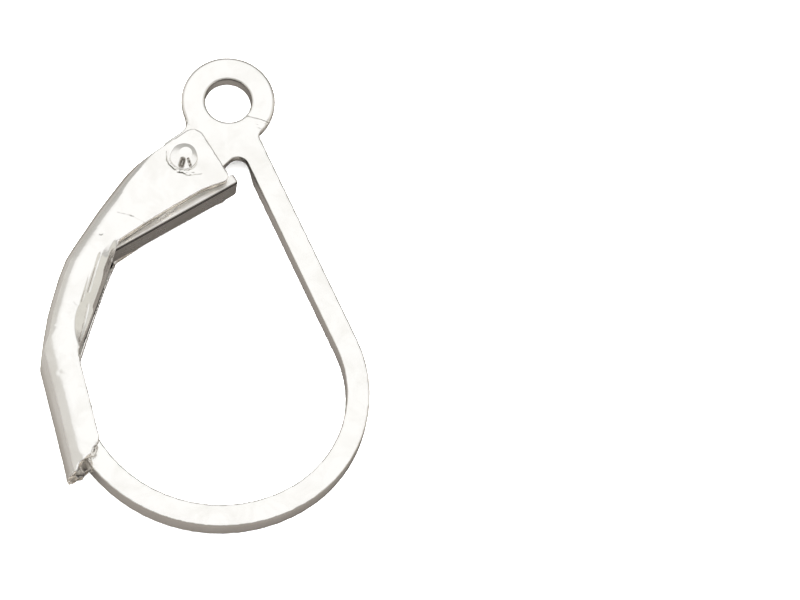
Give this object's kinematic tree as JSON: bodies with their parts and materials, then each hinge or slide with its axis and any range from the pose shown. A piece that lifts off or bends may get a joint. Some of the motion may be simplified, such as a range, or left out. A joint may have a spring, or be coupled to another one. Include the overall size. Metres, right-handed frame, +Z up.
{
  "type": "leverback earring finding",
  "caption": "Bare leverback earring finding: a flat teardrop wire with a charm ring, and a sprung folded lever that closes over its tip.",
  "frame": {"origin": "middle of the footprint of the closed finding, on the surface it lies on", "axes": "+Z up from that surface, +Y towards the charm ring, +X from the lever towards the straight shank"},
  "size_m": [0.0102, 0.0156, 0.0024],
  "materials": {
    "silver": "polished silver",
    "spring_silver": "silver with a dull grey face"
  },
  "bodies": {
    "root": {"hook_frame": "silver", "rivet": "silver"},
    "lever": {"lever": "silver", "leaf_spring": "spring_silver"}
  },
  "joints": [
    {"name": "lever_hinge", "type": "hinge", "parent": "root", "child": "lever", "pos_m": [-0.00079, 0.00408, 0.00118], "axis": [-0.0769, 0.0392, -0.9963], "range_deg": [0, 90], "deforming": ["leaf_spring"]}
  ]
}
